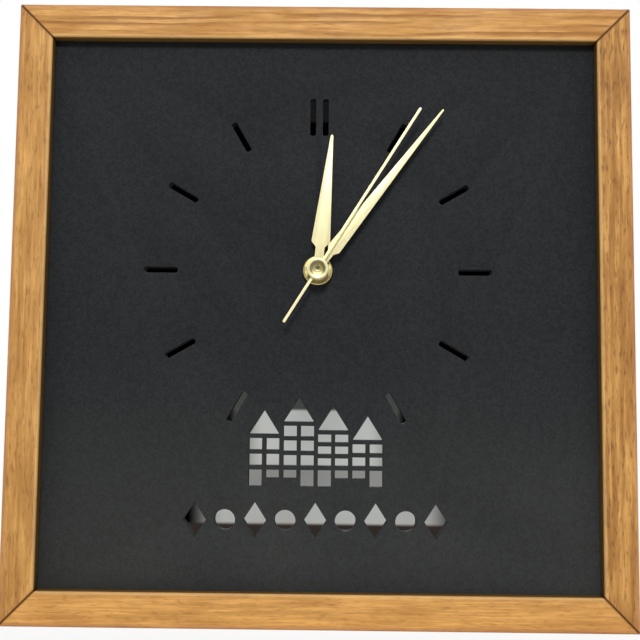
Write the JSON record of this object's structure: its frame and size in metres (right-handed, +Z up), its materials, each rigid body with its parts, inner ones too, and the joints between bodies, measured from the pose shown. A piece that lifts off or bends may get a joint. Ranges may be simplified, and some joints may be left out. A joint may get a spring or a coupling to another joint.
{
  "type": "square wall clock",
  "caption": "Square wooden wall clock with a recessed black cut-out dial over a mirror sheet, three hands and a quartz movement behind.",
  "frame": {"origin": "middle notch of the sawtooth hanger, on the wall plane, where the wall hook bears", "axes": "+Z up, +Y into the wall and square to it, +X to the viewer's right; the dial faces -Y"},
  "size_m": [0.3, 0.0388, 0.3],
  "materials": {
    "oak": "satin",
    "black_panel": "matt",
    "mirror": "polished",
    "hardboard": "matt",
    "hand_gold": "satin",
    "brass": "polished",
    "zinc_steel": "zinc plated",
    "case_plastic": "matt",
    "gear_plastic": "satin",
    "rubber": "matt",
    "copper_wire": "varnished",
    "circuit_green": "satin",
    "battery_jacket": "gloss",
    "magnet": "nickel plated"
  },
  "bodies": {
    "clock": {"rail_top": "oak", "rail_left": "oak", "rail_bottom": "oak", "rail_right": "oak", "front_panel": "black_panel", "mirror_sheet": "mirror", "back_board": "hardboard", "threaded_bushing": "brass", "brass_washer": "brass", "fixing_nut": "brass", "corner_nail_top_right": "zinc_steel", "corner_nail_top_left": "zinc_steel", "corner_nail_bottom_left": "zinc_steel", "corner_nail_bottom_right": "zinc_steel", "hanger": "zinc_steel", "hanger_nail_left": "zinc_steel", "hanger_nail_right": "zinc_steel", "battery_contact_positive": "zinc_steel", "battery_contact_negative": "zinc_steel", "stator": "zinc_steel", "coil_core": "zinc_steel", "quartz_crystal": "zinc_steel", "glazing_point_top_left": "zinc_steel", "glazing_point_top_right": "zinc_steel", "glazing_point_left_lower": "zinc_steel", "glazing_point_left_upper": "zinc_steel", "glazing_point_bottom_right": "zinc_steel", "glazing_point_bottom_left": "zinc_steel", "glazing_point_right_upper": "zinc_steel", "glazing_point_right_lower": "zinc_steel", "movement_case": "case_plastic", "movement_cover": "case_plastic", "driver_chip": "case_plastic", "gear_plate": "gear_plastic", "coil_bobbin": "gear_plastic", "rubber_washer": "rubber", "bumper_left": "rubber", "bumper_right": "rubber", "coil_winding": "copper_wire", "circuit_board": "circuit_green", "battery": "battery_jacket"},
    "second_group": {"second_wheel": "gear_plastic", "second_arbor": "zinc_steel", "second_hand": "hand_gold", "second_hand_tube": "brass", "second_hand_cap": "brass"},
    "rotor": {"rotor_magnet": "magnet", "rotor_pinion": "gear_plastic"},
    "intermediate": {"intermediate_wheel": "gear_plastic"},
    "third": {"third_wheel": "gear_plastic"},
    "centre": {"centre_wheel": "gear_plastic"},
    "minute_group": {"centre_arbor": "brass", "minute_hand": "hand_gold", "minute_hand_collet": "brass"},
    "minute_works": {"minute_wheel": "gear_plastic"},
    "hour_group": {"hour_wheel": "gear_plastic", "hour_hand": "hand_gold", "hour_hand_collet": "brass"},
    "knob": {"setting_knob": "gear_plastic"}
  },
  "joints": [
    {"name": "second_spin", "type": "hinge", "parent": "clock", "child": "second_group", "pos_m": [-0.002, -0.02, -0.12175], "axis": [0, 1, 0], "continuous": true},
    {"name": "rotor_spin", "type": "hinge", "parent": "clock", "child": "rotor", "pos_m": [-0.01529, -0.02, -0.11208], "axis": [0, 1, 0], "continuous": true},
    {"name": "intermediate_spin", "type": "hinge", "parent": "clock", "child": "intermediate", "pos_m": [-0.01282, -0.02, -0.11885], "axis": [0, 1, 0], "continuous": true},
    {"name": "third_spin", "type": "hinge", "parent": "clock", "child": "third", "pos_m": [0.0052, -0.02, -0.11317], "axis": [0, 1, 0], "continuous": true},
    {"name": "centre_wheel_spin", "type": "hinge", "parent": "clock", "child": "centre", "pos_m": [-0.002, -0.02, -0.12175], "axis": [0, 1, 0], "continuous": true},
    {"name": "minute_spin", "type": "hinge", "parent": "clock", "child": "minute_group", "pos_m": [-0.002, -0.02, -0.12175], "axis": [0, 1, 0], "continuous": true},
    {"name": "minute_wheel_spin", "type": "hinge", "parent": "clock", "child": "minute_works", "pos_m": [0.00628, -0.02, -0.12321], "axis": [0, 1, 0], "continuous": true},
    {"name": "hour_spin", "type": "hinge", "parent": "clock", "child": "hour_group", "pos_m": [-0.002, -0.02, -0.12175], "axis": [0, 1, 0], "continuous": true},
    {"name": "knob_spin", "type": "hinge", "parent": "clock", "child": "knob", "pos_m": [0.01457, -0.02, -0.12467], "axis": [0, 1, 0], "continuous": true}
  ],
  "couplings": [
    {"joint": "rotor_spin", "follows": "second_spin", "ratio": 30},
    {"joint": "intermediate_spin", "follows": "second_spin", "ratio": -6},
    {"joint": "third_spin", "follows": "second_spin", "ratio": -0.13333},
    {"joint": "centre_wheel_spin", "follows": "second_spin", "ratio": 0.016667},
    {"joint": "minute_wheel_spin", "follows": "minute_spin", "ratio": -0.33333},
    {"joint": "hour_spin", "follows": "minute_spin", "ratio": 0.083333},
    {"joint": "knob_spin", "follows": "minute_spin", "ratio": 1}
  ]
}
